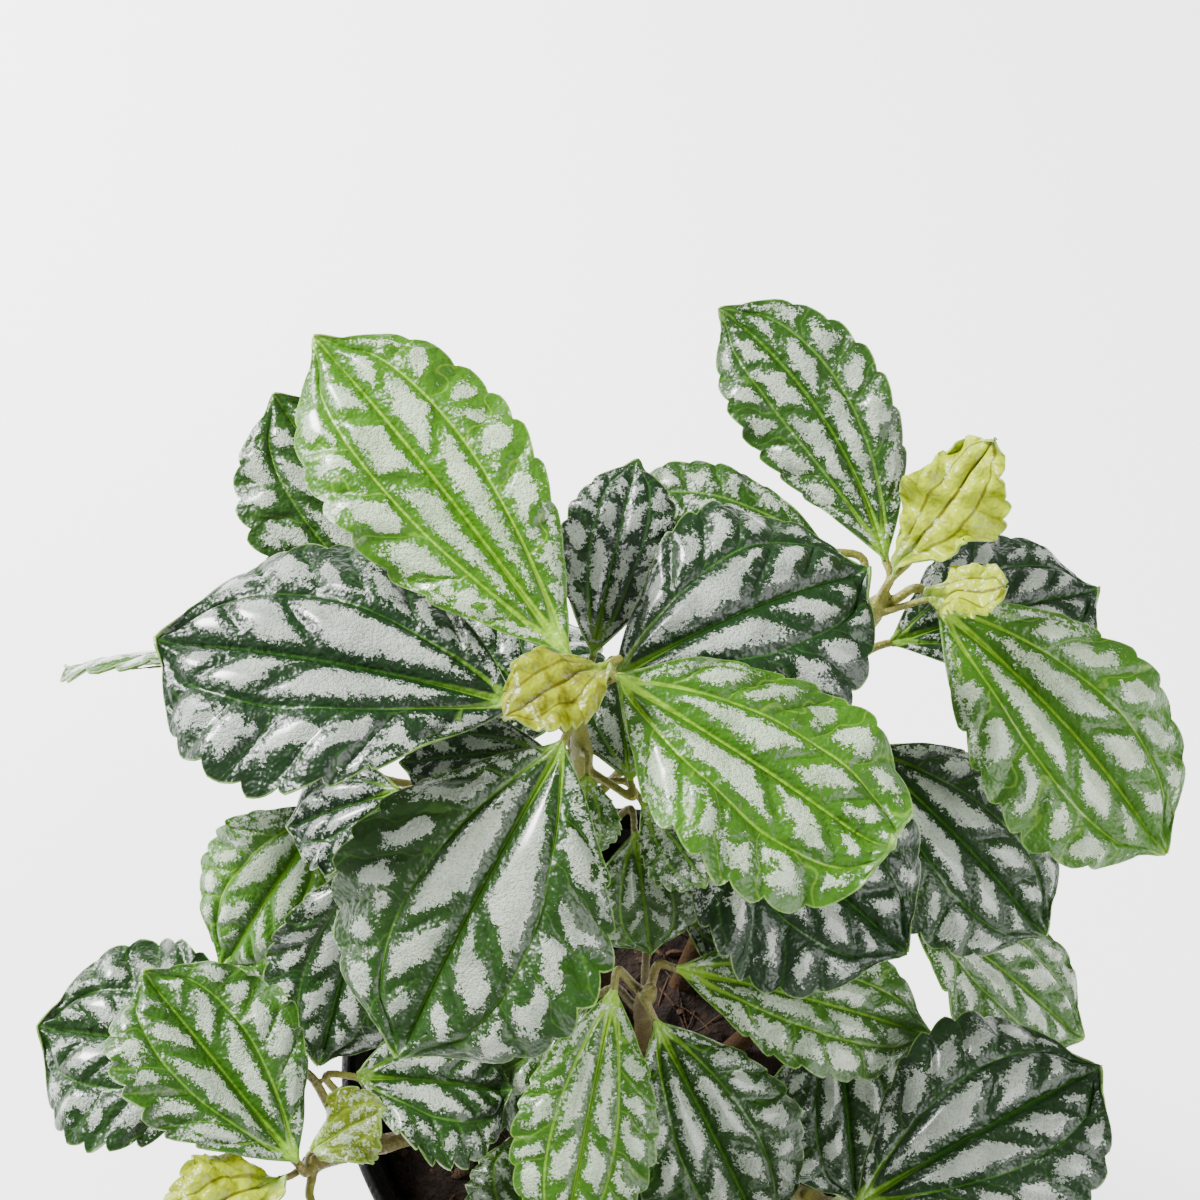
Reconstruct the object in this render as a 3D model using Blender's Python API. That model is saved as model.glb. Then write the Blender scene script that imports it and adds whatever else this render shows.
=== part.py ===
"""Potted aluminum plant: a tapered nursery pot, a soil plug, and leafy stems with toothed, arched blades.

Metres, +Z up. The origin is the middle of the pot's underside, and the plant's front is -Y.
Sizes in the tables of stems and leaves are millimetres and degrees, as they would be measured on the plant.
"""

import math
from dataclasses import dataclass, field

import bmesh
import bpy
import numpy as np

MM = 0.001

# Pot
POT_HEIGHT = 100.0
RIM_RADIUS = 60.0
RIM_BAND = 12.0
WALL_TOP_RADIUS = 57.0
BASE_RADIUS = 43.0
WALL = 1.6
FLOOR = 2.4
POT_SIDES = 40
DRAIN_HOLES = 6
DRAIN_RADIUS = 4.0
DRAIN_CIRCLE = 29.0

# Soil
SOIL_TOP = 83.0
SOIL_GAP = 0.4
SOIL_BUMP = 1.6
SOIL_RINGS = 5
SOIL_SIDES = 24
HOLE_GAP = 0.4

# Leaves
BLADE_THICKNESS = 0.8
TEETH = 5
TOOTH_START = 0.24
TOOTH_END = 0.93
TOOTH_PEAK = 0.8
TOOTH_DEPTH = 0.075
BASE_POWER = 1.0
TIP_POWER = 0.72
TIP_START = 0.85
TIP_SPAN = 0.13
TIP_PINCH = 0.5
COLUMNS = (-1.0, -0.5, 0.0, 0.5, 1.0)
SMALL_LEAF = 33.0
SMALL_COLUMNS = (-1.0, 0.0, 1.0)
MIDRIB_STEPS = 40
PETIOLE_RADIUS = 0.95
PETIOLE_SIDES = 6
PETIOLE_SINK = 5.0
STEM_SIDES = 8
STEM_BASE_RADIUS = 2.6
STEM_TOP_RADIUS = 1.5


@dataclass
class Leaf:
    """One blade. base is where it starts, and node is how far up its stem its petiole leaves, from 0 to 1."""

    base: tuple
    node: float
    heading: float
    pitch: float
    length: float
    width: float
    arch: float = 30.0
    roll: float = 0.0
    sway: float = 0.0
    fold: float = 0.3
    droop: float = 0.32
    curl: float = 0.0
    wave: float = 0.05


@dataclass
class Shoot:
    """A stem by the points that its middle passes through, from its foot in the soil up, and its leaves."""

    stem: list
    leaves: list = field(default_factory=list)
    cut: bool = False


SHOOTS = {
    "shoot_tall": Shoot(
        [(-2, 18, 73), (-3, 20, 120), (-5, 22, 180), (-7, 23, 234)],
        [
            Leaf((-8, 27, 236), 0.99, 128, 9, 77, 35, arch=24, roll=-10),
            Leaf((0, 23, 237), 0.99, -34, -6, 57, 41, arch=24, roll=-8, curl=130),
            Leaf((-17, 22, 229), 0.93, 167, -4, 68, 45, arch=30, roll=4),
            Leaf((0, 28, 227), 0.93, 25, 1, 52, 43, arch=44, roll=4, droop=0.4),
            Leaf((-9, 17, 224), 0.87, -120, -24, 62, 44, arch=30),
            Leaf((-4, 38, 216), 0.87, 77, 16, 39, 20, arch=30),
            Leaf((11, 27, 192), 0.70, -36, -14, 57, 45, arch=30, roll=6),
            Leaf((-14, 34, 200), 0.74, 150, -6, 48, 32, arch=30),
            Leaf((4, 20, 178), 0.60, -80, -42, 26, 22, arch=30),
            Leaf((-1, 24, 240), 1.0, 218, 12, 23, 15, arch=50, wave=0.2),
            Leaf((-5, 15, 214), 0.84, -92, -36, 15, 12, arch=30),
            Leaf((5, 17, 199), 0.77, -50, -20, 20, 14, arch=30),
        ],
    ),
    "shoot_right_back": Shoot(
        [(14, 20, 73), (24, 30, 120), (38, 43, 165), (50, 54, 208)],
        [
            Leaf((51, 60, 213), 0.98, 122, 14, 61, 27, arch=30, roll=-22, sway=30),
            Leaf((60, 52, 211), 0.98, -42, -24, 67, 40, arch=44, roll=6),
            Leaf((54, 53, 194), 0.88, 18, -4, 46, 34, arch=30),
            Leaf((42, 70, 200), 0.88, 166, -10, 50, 27, arch=50, roll=-8, curl=-50),
            Leaf((50, 42, 170), 0.66, -40, -24, 56, 38, arch=34, roll=6),
            Leaf((52, 55, 216), 1.0, 44, 42, 32, 17, arch=-10, wave=0.25),
            Leaf((58, 50, 216), 0.97, -20, 40, 17, 12, arch=30, wave=0.15),
        ],
    ),
    "shoot_cut": Shoot(
        [(8, 0, 73), (7, -2, 110), (6, -4, 145), (7, -7, 164)],
        [
            Leaf((0, -7, 164), 0.9, -102, -18, 50, 26, arch=26),
            Leaf((12, -3, 165), 0.92, -11, -12, 53, 26, arch=24, roll=4),
            Leaf((8, -11, 158), 0.8, -60, -26, 49, 33, arch=22),
            Leaf((-4, -3, 148), 0.72, -162, -26, 44, 32, arch=30),
            Leaf((13, 10, 160), 0.86, -14, -22, 30, 22, arch=30),
        ],
        cut=True,
    ),
    "shoot_left": Shoot(
        [(-16, -6, 73), (-30, -16, 105), (-46, -29, 135), (-58, -38, 154)],
        [
            Leaf((-59, -39, 160), 0.98, 132, 10, 48, 34, arch=30, roll=14, fold=0.6),
            Leaf((-68, -18, 152), 0.84, 168, -8, 50, 42, arch=30),
            Leaf((-50, -20, 151), 0.74, -2, -11, 32, 33, arch=50, roll=-9, fold=0.5),
            Leaf((-56, -46, 155), 0.98, -64, 4, 46, 30, arch=40),
            Leaf((-62, -42, 160), 1.0, -150, 24, 24, 17, arch=40, wave=0.25),
            Leaf((-56, -37, 161), 1.0, 20, 30, 18, 13, arch=50, wave=0.3),
        ],
    ),
    "shoot_left_back": Shoot(
        [(-14, 16, 73), (-24, 24, 110), (-34, 34, 150), (-40, 44, 182)],
        [
            Leaf((-36, 55, 188), 0.97, 124, 18, 62, 37, arch=24),
            Leaf((-54, 51, 190), 0.97, 175, -12, 60, 30, arch=40, roll=58),
            Leaf((-58, 34, 158), 0.80, -134, -36, 44, 36, arch=24),
            Leaf((-46, 20, 168), 0.84, -110, -34, 46, 30, arch=20, roll=-10),
            Leaf((-24, 48, 150), 0.72, 84, -16, 52, 36, arch=30),
            Leaf((-41, 26, 184), 0.97, -172, -24, 26, 24, arch=30),
        ],
    ),
    "shoot_right": Shoot(
        [(22, 4, 73), (34, 8, 100), (46, 12, 128), (52, 14, 144)],
        [
            Leaf((60, 18, 150), 0.97, -28, -32, 54, 34, arch=24, roll=-8),
            Leaf((48, 24, 142), 0.97, 92, -14, 42, 30, arch=34),
            Leaf((46, 2, 136), 0.8, -84, -26, 44, 32, arch=24),
        ],
    ),
    "shoot_right_front": Shoot(
        [(20, -18, 73), (30, -28, 105), (38, -40, 138), (41, -46, 154)],
        [
            Leaf((45, -46, 158), 0.97, 27, 8, 54, 40, arch=34),
            Leaf((34, -52, 158), 0.97, -140, 4, 52, 36, arch=30),
            Leaf((46, -54, 150), 0.86, -52, -16, 58, 42, arch=34),
            Leaf((42, -46, 160), 1.0, -80, 30, 20, 14, arch=50, wave=0.25),
        ],
    ),
    "shoot_front": Shoot(
        [(-6, -24, 73), (-12, -38, 104), (-18, -52, 132), (-20, -60, 146)],
        [
            Leaf((-28, -64, 146), 0.97, -150, -18, 58, 40, arch=30),
            Leaf((-12, -64, 146), 0.97, -30, -20, 54, 38, arch=30),
            Leaf((-20, -68, 142), 0.86, -96, -20, 58, 42, arch=34),
            Leaf((-16, -53, 136), 0.86, 100, -12, 28, 20, arch=30),
            Leaf((-20, -60, 150), 1.0, -60, 30, 20, 14, arch=50, wave=0.25),
        ],
    ),
}


def smooth_path(points, steps=8):
    """Catmull-Rom curve through the points, as an array."""
    knots = np.array(points, float)
    padded = np.vstack([2 * knots[0] - knots[1], knots, 2 * knots[-1] - knots[-2]])
    path = []
    for before, start, end, after in zip(padded, padded[1:], padded[2:], padded[3:]):
        for step in range(steps):
            t = step / steps
            path.append(
                0.5
                * (
                    2 * start
                    + (end - before) * t
                    + (2 * before - 5 * start + 4 * end - after) * t**2
                    + (3 * start - before - 3 * end + after) * t**3
                )
            )
    path.append(knots[-1])
    return np.array(path)


def point_at(path, share):
    """The point at a share of the path's length."""
    runs = np.linalg.norm(np.diff(path, axis=0), axis=1)
    along = np.concatenate([[0.0], np.cumsum(runs)]) / runs.sum()
    return np.array([np.interp(share, along, path[:, axis]) for axis in range(3)])


def half_width(s):
    """Outline of an obovate blade with a drawn-out tip, from 0 to 1, at a share s of the midrib."""
    widest = BASE_POWER / (BASE_POWER + TIP_POWER)
    full = widest**BASE_POWER * (1.0 - widest) ** TIP_POWER
    body = s**BASE_POWER * (1.0 - s) ** TIP_POWER / full
    drawn = np.clip((s - TIP_START) / TIP_SPAN, 0.0, 1.0)
    return body * (1.0 - TIP_PINCH * drawn**2 * (3.0 - 2.0 * drawn))


def tooth(s):
    """How far a margin tooth stands out at s, from 0 to 1: a slow rise and a quick notch."""
    phase = (s - TOOTH_START) / (TOOTH_END - TOOTH_START) * TEETH
    within = phase - np.floor(phase)
    rise = np.sin(0.5 * math.pi * np.minimum(within / TOOTH_PEAK, 1.0))
    fall = np.clip((1.0 - within) / (1.0 - TOOTH_PEAK), 0.0, 1.0)
    return np.where((phase < 0) | (phase >= TEETH), 0.0, rise * fall)


def blade_stations():
    """Shares of the midrib that carry a row of points: each tooth has its peak and its notch."""
    tooth_length = (TOOTH_END - TOOTH_START) / TEETH
    stations = [0.02, 0.11]
    for index in range(TEETH):
        start = TOOTH_START + index * tooth_length
        stations += [start, start + TOOTH_PEAK * tooth_length]
    return np.array(stations + [TOOTH_END, 0.97])


def midrib(leaf, shares):
    """Points on the midrib, with the blade's sideways and upward directions there."""
    fine = np.linspace(0.0, 1.0, MIDRIB_STEPS + 1)
    middle = 0.5 * (fine[1:] + fine[:-1])
    tip_turn = np.clip((middle - 0.78) / 0.22, 0.0, 1.0) ** 2
    pitch = np.radians(leaf.pitch + leaf.arch * (0.5 - middle) + leaf.curl * tip_turn)
    heading = np.radians(leaf.heading + leaf.sway * (middle - 0.5))
    runs = np.stack(
        [
            np.cos(pitch) * np.cos(heading),
            np.cos(pitch) * np.sin(heading),
            np.sin(pitch),
        ],
        axis=1,
    )
    line = np.vstack([np.zeros(3), np.cumsum(runs, axis=0)]) * leaf.length / MIDRIB_STEPS
    line += np.array(leaf.base, float)
    centre = np.stack([np.interp(shares, fine, line[:, axis]) for axis in range(3)], 1)
    along = np.stack([np.interp(shares, middle, runs[:, axis]) for axis in range(3)], 1)
    along /= np.linalg.norm(along, axis=1, keepdims=True)
    turn = np.interp(shares, middle, heading)
    level = np.stack([-np.sin(turn), np.cos(turn), np.zeros_like(turn)], axis=1)
    above = np.cross(along, level)
    roll = math.radians(leaf.roll)
    side = level * math.cos(roll) + above * math.sin(roll)
    up = above * math.cos(roll) - level * math.sin(roll)
    return centre, along, side, up


def blade_rows(leaf, stations, columns):
    """Rows of points across the blade, in millimetres: a shallow trough whose edges turn down."""
    centre, along, side, up = midrib(leaf, stations)
    half = 0.5 * leaf.width * half_width(stations)
    rows = np.empty((len(stations), len(columns), 3))
    for column, across in enumerate(columns):
        margin = abs(across) ** 6
        reach = half * across * (1.0 + TOOTH_DEPTH * margin * tooth(stations))
        lift = half * (
            leaf.fold * (1.0 - 0.6 * stations) * abs(across) - leaf.droop * across**2
        )
        ripple = np.sin(9.0 * stations + 2.0 * across + 0.05 * leaf.heading)
        lift = lift + 0.5 * leaf.width * leaf.wave * across**2 * ripple
        rows[:, column] = centre + side * reach[:, None] + up * lift[:, None]
    return rows


def mesh_object(name, bm, collection=None):
    """A new object from a bmesh in millimetres."""
    bmesh.ops.scale(bm, vec=(MM, MM, MM), verts=bm.verts)
    mesh = bpy.data.meshes.new(name)
    bm.to_mesh(mesh)
    bm.free()
    made = bpy.data.objects.new(name, mesh)
    (collection or bpy.context.scene.collection).objects.link(made)
    return made


def blade(name, leaf, collection):
    """A thin closed blade: a triangulated sheet with a Solidify modifier."""
    stations = blade_stations()
    columns = SMALL_COLUMNS if leaf.length < SMALL_LEAF else COLUMNS
    rows = blade_rows(leaf, stations, columns)
    tip = midrib(leaf, np.array([1.0]))[0][0]
    bm = bmesh.new()
    grid = [[bm.verts.new(point) for point in row] for row in rows]
    point = bm.verts.new(tip)
    middle = len(columns) // 2
    for near, far in zip(grid, grid[1:]):
        for column in range(len(columns) - 1):
            a, b = near[column], near[column + 1]
            c, d = far[column + 1], far[column]
            # The diagonals lean towards the midrib, so both halves of the blade are alike.
            if column < middle:
                bm.faces.new((a, b, c))
                bm.faces.new((a, c, d))
            else:
                bm.faces.new((a, b, d))
                bm.faces.new((b, c, d))
    for a, b in zip(grid[-1], grid[-1][1:]):
        bm.faces.new((a, b, point))
    bmesh.ops.reverse_faces(bm, faces=bm.faces)
    made = mesh_object(name, bm, collection)
    solid = made.modifiers.new("thickness", "SOLIDIFY")
    solid.thickness = BLADE_THICKNESS * MM
    solid.offset = 0.0
    return made


def tube(name, path, radii, sides, collection=None):
    """A closed tube round a path, with a ring of points at each path point."""
    bm = bmesh.new()
    rings = []
    ahead = np.gradient(path, axis=0)
    ahead /= np.linalg.norm(ahead, axis=1, keepdims=True)
    across = np.cross(ahead[0], (0.3, 0.9, 0.1))
    for point, direction, radius in zip(path, ahead, radii):
        across = across - direction * np.dot(across, direction)
        across /= np.linalg.norm(across)
        other = np.cross(direction, across)
        turns = np.arange(sides) * 2.0 * math.pi / sides
        rings.append(
            [
                bm.verts.new(point + radius * (math.cos(t) * across + math.sin(t) * other))
                for t in turns
            ]
        )
    for low, high in zip(rings, rings[1:]):
        for index in range(sides):
            after = (index + 1) % sides
            bm.faces.new((low[index], low[after], high[after], high[index]))
    bm.faces.new(reversed(rings[0]))
    bm.faces.new(rings[-1])
    return mesh_object(name, bm, collection)


def petiole_path(leaf, stem_path):
    """From the stem's middle, up and out, into the underside of the blade's base."""
    start = point_at(stem_path, leaf.node)
    sink = PETIOLE_SINK / leaf.length
    centre, along, _, up = midrib(leaf, np.array([0.0, sink]))
    end = centre[1] - up[1] * 0.5 * PETIOLE_RADIUS
    base = centre[0] - up[0] * 0.5 * PETIOLE_RADIUS
    reach = np.linalg.norm(base - start)
    bend = base - along[0] * 0.35 * reach
    bend[2] += 0.08 * reach
    return np.array([start, 0.5 * (start + bend), bend, base, end])


def stem_radii(path):
    """Stem radius along a path, thinner towards the top."""
    share = np.linspace(0.0, 1.0, len(path))
    return STEM_BASE_RADIUS + (STEM_TOP_RADIUS - STEM_BASE_RADIUS) * share


def leafy_stem(name, shoot, material):
    """One stem with its petioles and blades, joined in one solid."""
    path = smooth_path(shoot.stem, 2)
    pieces = bpy.data.collections.new(name + "_pieces")
    bpy.context.scene.collection.children.link(pieces)
    for index, leaf in enumerate(shoot.leaves):
        blade(f"{name}_blade_{index}", leaf, pieces)
        route = petiole_path(leaf, path)
        radii = np.full(len(route), PETIOLE_RADIUS)
        tube(f"{name}_petiole_{index}", route, radii, PETIOLE_SIDES, pieces)
    stem = tube(name, path, stem_radii(path), STEM_SIDES)
    join = stem.modifiers.new("join", "BOOLEAN")
    join.operation = "UNION"
    join.operand_type = "COLLECTION"
    join.collection = pieces
    join.solver = "EXACT"
    bpy.context.view_layer.objects.active = stem
    bpy.ops.object.modifier_apply(modifier=join.name)
    for piece in list(pieces.objects):
        bpy.data.objects.remove(piece)
    bpy.data.collections.remove(pieces)
    stem.data.materials.clear()
    stem.data.materials.append(material)
    return stem


def turned(name, profile, sides, material):
    """A solid of revolution about Z from a profile of (radius, height) that starts and ends on the axis."""
    bm = bmesh.new()
    corners = [bm.verts.new((radius, 0.0, height)) for radius, height in profile]
    edges = [bm.edges.new((a, b)) for a, b in zip(corners, corners[1:])]
    bmesh.ops.spin(
        bm,
        geom=corners + edges,
        cent=(0, 0, 0),
        axis=(0, 0, 1),
        angle=2.0 * math.pi,
        steps=sides,
        use_merge=True,
    )
    bmesh.ops.remove_doubles(bm, verts=bm.verts, dist=0.001)
    bmesh.ops.recalc_face_normals(bm, faces=bm.faces)
    made = mesh_object(name, bm)
    made.data.materials.append(material)
    return made


def cylinder_cutter(name, x, y, low, high, radius, sides=12):
    """A hidden cylinder for a Boolean cut."""
    path = np.array([(x, y, low), (x, y, 0.5 * (low + high)), (x, y, high)])
    made = tube(name, path, [radius] * 3, sides)
    made.hide_render = True
    made.display_type = "WIRE"
    return made


def cut(target, cutter):
    """Subtracts a cutter and removes it."""
    modifier = target.modifiers.new("cut", "BOOLEAN")
    modifier.operation = "DIFFERENCE"
    modifier.object = cutter
    modifier.solver = "EXACT"
    bpy.context.view_layer.objects.active = target
    bpy.ops.object.modifier_apply(modifier=modifier.name)
    bpy.data.objects.remove(cutter)


def pot(material):
    """Tapered pot with a turned-out rim band, a flat floor and a circle of drain holes."""
    band_bottom = POT_HEIGHT - RIM_BAND
    inner_top = RIM_RADIUS - WALL
    profile = [
        (0.0, FLOOR),
        (BASE_RADIUS - WALL, FLOOR),
        (WALL_TOP_RADIUS - WALL, band_bottom + 1.5),
        (inner_top - 0.3, band_bottom + 3.5),
        (inner_top, POT_HEIGHT - 0.6),
        (inner_top + 0.5, POT_HEIGHT),
        (RIM_RADIUS - 0.4, POT_HEIGHT),
        (RIM_RADIUS, POT_HEIGHT - 0.6),
        (RIM_RADIUS - 0.4, band_bottom),
        (WALL_TOP_RADIUS, band_bottom),
        (BASE_RADIUS + 0.3, 1.2),
        (BASE_RADIUS - 1.0, 0.0),
        (0.0, 0.0),
    ]
    made = turned("pot", profile, POT_SIDES, material)
    for index in range(DRAIN_HOLES):
        angle = 2.0 * math.pi * index / DRAIN_HOLES
        x, y = DRAIN_CIRCLE * math.cos(angle), DRAIN_CIRCLE * math.sin(angle)
        cut(made, cylinder_cutter("drain", x, y, -2.0, FLOOR + 2.0, DRAIN_RADIUS))
    return made


def soil_height(x, y):
    """Top of the soil: low swells that fade out at the pot's wall."""
    swell = math.sin(0.21 * x + 1.3) * math.cos(0.17 * y - 0.4)
    swell += 0.6 * math.sin(0.41 * x - 0.37 * y + 2.0)
    return SOIL_TOP + SOIL_BUMP * swell


def soil(material):
    """Plug of soil, a little clear of the pot, with a plain hole for each stem."""
    slope = (WALL_TOP_RADIUS - BASE_RADIUS) / (POT_HEIGHT - RIM_BAND)
    low = FLOOR + SOIL_GAP
    low_radius = BASE_RADIUS - WALL - SOIL_GAP + slope * low - 0.5
    top_radius = BASE_RADIUS - WALL - SOIL_GAP + slope * SOIL_TOP - 1.0
    bm = bmesh.new()
    turns = np.arange(SOIL_SIDES) * 2.0 * math.pi / SOIL_SIDES
    rings = [
        [bm.verts.new((low_radius * math.cos(t), low_radius * math.sin(t), low)) for t in turns]
    ]
    for ring in range(SOIL_RINGS, 0, -1):
        radius = top_radius * ring / SOIL_RINGS
        points = [(radius * math.cos(t), radius * math.sin(t)) for t in turns]
        rings.append([bm.verts.new((x, y, soil_height(x, y))) for x, y in points])
    for outer, inner in zip(rings, rings[1:]):
        for index in range(SOIL_SIDES):
            after = (index + 1) % SOIL_SIDES
            bm.faces.new((outer[index], outer[after], inner[after]))
            bm.faces.new((outer[index], inner[after], inner[index]))
    centre = bm.verts.new((0.0, 0.0, soil_height(0.0, 0.0)))
    for index in range(SOIL_SIDES):
        bm.faces.new((rings[-1][index], rings[-1][(index + 1) % SOIL_SIDES], centre))
    bm.faces.new(reversed(rings[0]))
    made = mesh_object("soil", bm)
    made.data.materials.append(material)
    for shoot in SHOOTS.values():
        foot, above = np.array(shoot.stem[0], float), np.array(shoot.stem[1], float)
        lean = (above - foot) / np.linalg.norm(above - foot)
        path = np.array([foot - 1.0 * lean, foot + 12.0 * lean, foot + 30.0 * lean])
        cutter = tube("stem_hole", path, [STEM_BASE_RADIUS + HOLE_GAP] * 3, STEM_SIDES)
        cutter.hide_render = True
        cut(made, cutter)
    return made


def principled(name, colour, roughness):
    """A plain material for one sub-part."""
    material = bpy.data.materials.new(name)
    material.use_nodes = True
    shader = material.node_tree.nodes["Principled BSDF"]
    shader.inputs["Base Color"].default_value = (*colour, 1.0)
    shader.inputs["Roughness"].default_value = roughness
    return material


def main():
    for leftover in list(bpy.data.objects):
        bpy.data.objects.remove(leftover)
    pot(principled("pot_plastic", (0.035, 0.03, 0.027), 0.5))
    soil(principled("potting_soil", (0.05, 0.032, 0.02), 0.95))
    foliage = principled("foliage", (0.09, 0.2, 0.07), 0.35)
    for name, shoot in SHOOTS.items():
        leafy_stem(name, shoot, foliage)


if __name__ == "__main__":
    main()
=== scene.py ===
"""Looks of a potted aluminum plant: quilted, silver-patched blades, stems, potting soil and a nursery pot.

Tables of stems and leaves are in millimetres and degrees, and the model is in metres with +Z up.
The plant's front is -Y.
"""

import math
from dataclasses import dataclass

import bpy
import numpy as np
from mathutils import Matrix, Vector, noise


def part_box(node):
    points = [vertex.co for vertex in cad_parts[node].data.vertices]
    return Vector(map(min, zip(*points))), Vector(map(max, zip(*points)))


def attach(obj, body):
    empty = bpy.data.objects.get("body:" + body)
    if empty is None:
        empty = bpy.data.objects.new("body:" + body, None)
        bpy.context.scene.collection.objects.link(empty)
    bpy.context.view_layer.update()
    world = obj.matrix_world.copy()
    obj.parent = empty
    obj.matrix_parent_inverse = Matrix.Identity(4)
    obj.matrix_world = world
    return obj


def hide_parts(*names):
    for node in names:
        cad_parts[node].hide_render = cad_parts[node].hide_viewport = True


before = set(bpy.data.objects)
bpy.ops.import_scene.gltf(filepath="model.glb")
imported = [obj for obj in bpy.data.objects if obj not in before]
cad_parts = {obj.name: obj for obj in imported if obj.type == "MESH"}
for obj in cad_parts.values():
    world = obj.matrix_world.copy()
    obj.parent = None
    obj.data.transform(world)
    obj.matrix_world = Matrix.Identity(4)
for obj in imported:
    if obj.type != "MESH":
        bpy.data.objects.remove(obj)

bl_info = {
    "name": "Potted Aluminum Plant",
    "version": (1, 0, 0),
    "blender": (4, 5, 0),
    "location": "View3D > Sidebar > Aluminum Plant",
    "description": "Leafy stems with silver-patched, toothed blades in a nursery pot of soil",
    "category": "Add Mesh",
}

MM = 0.001
BODY = "root"

# The photo's frame is square, so a lens on this sensor gives its angle.
PHOTO_WIDTH_PX = 1200
FOCAL_LENGTH_PX = 2000
SENSOR_WIDTH = 36.0
CAMERA_PLACE = (-2.66, -134.53, 535.02)
CAMERA_TILT = 30.0

# Blade outline and trough. BLADE_REACH is the share of its midrib that a blade covers.
TEETH = 7
TOOTH_START = 0.2
TOOTH_END = 0.95
TOOTH_PEAK = 0.72
TOOTH_DEPTH = 0.08
TOOTH_RISE = 0.75
TOOTH_FALL = 0.6
BASE_POWER = 1.0
TIP_POWER = 0.72
TIP_START = 0.86
TIP_SPAN = 0.12
TIP_PINCH = 0.42
MIDRIB_STEPS = 60
CURL_START = 0.78
CURL_SPAN = 0.22
BASE_ROWS = 12
TIP_ROWS = 6
TOOTH_ROWS = (0.0, 0.14, 0.28, 0.42, 0.56, TOOTH_PEAK, 0.82, 0.92)
TOOTH_LEAN = 0.5
COLUMN_STEP = 0.85
CRINKLE = 5.5
SWELL = 1.5
BLADE_REACH = 0.99
BASE_HALF_WIDTH = 0.5
TIP_HALF_WIDTH = 0.12

# Veins. A lateral vein runs up each half of a blade, at a share of the way to its margin. Cross veins leave
# the midrib and the lateral at a slant, a millimetre forward for each millimetre out where the lean is 1.
# The quilting is at its full depth on a blade FULL_QUILT wide or wider.
RIB_DEPTH = 2.3
RIB_SPREAD = 2.2
LATERAL_DEPTH = 1.9
LATERAL_SPREAD = 1.8
RUNG_DEPTH = 1.5
RUNG_SPREAD = 1.7
FULL_QUILT = 36.0
LATERAL = 0.46
INNER_CELLS = 4.0
INNER_LEAN = 1.15
OUTER_CELLS = 7.0
OUTER_LEAN = 0.7

# Silver patches. Clearances are in millimetres on a blade BROAD_BLADE wide or wider, less on a narrow one.
# The outer row's patches are placed and sized as shares, and thin slivers run along the margin near the base.
# The slants roughly turn a length along the midrib into one straight across the cross veins.
BROAD_BLADE = 40.0
INNER_SLANT = 0.75
OUTER_SLANT = 0.8
MIDRIB_CLEAR = 2.2
LATERAL_CLEAR = 1.9
RUNG_CLEAR = 2.1
OUTER_CLEAR = 2.0
EDGE_CLEAR = 1.9
PATCH_MIDDLE = 0.46
PATCH_RADIUS = 0.58
SPECK_LEVEL = 1.8
SLIVER_INSET = 1.4
SLIVER_END = 0.34
BARE_BASE = 0.06

STEM_BASE_RADIUS = 2.6
STEM_TOP_RADIUS = 1.5
PETIOLE_RADIUS = 0.95
NODE_SWELL = 0.35
STEM_VOXEL = 0.42
STEM_STEPS = 12
BARE_JOINTS = (0.3, 0.5)

POT_SIDES = 160
POT_WALL = 1.6
RIM_BAND = 12.0
FOOT_RADIUS = 43.0
WALL_TOP_RADIUS = 57.0
DRAIN_HOLES = 6
DRAIN_RADIUS = 4.0
DRAIN_CIRCLE = 29.0
FOOT_NOTCHES = 4
NOTCH_RADIUS = 4.0
NOTCH_DROP = 2.6
SOIL_TOP = 83.0
SOIL_LOW = 2.9
SOIL_TOP_RADIUS = 53.6
SOIL_LOW_RADIUS = 40.6
SOIL_BUMP = 1.6
CHIP_REACH = 50.0
FIBRE_REACH = 46.0
FIBRE_LIMIT = 51.0
BITS_SEED = 7


@dataclass
class Leaf:
    """One blade. base is where it starts, and node is how far up its stem its petiole leaves, from 0 to 1."""

    base: tuple
    node: float
    heading: float
    pitch: float
    length: float
    width: float
    arch: float = 30.0
    roll: float = 0.0
    sway: float = 0.0
    fold: float = 0.3
    droop: float = 0.32
    curl: float = 0.0
    wave: float = 0.05


@dataclass
class Shoot:
    """A stem by the points that its middle passes through, from its foot in the soil up, and its leaves."""

    stem: list
    leaves: list


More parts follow.
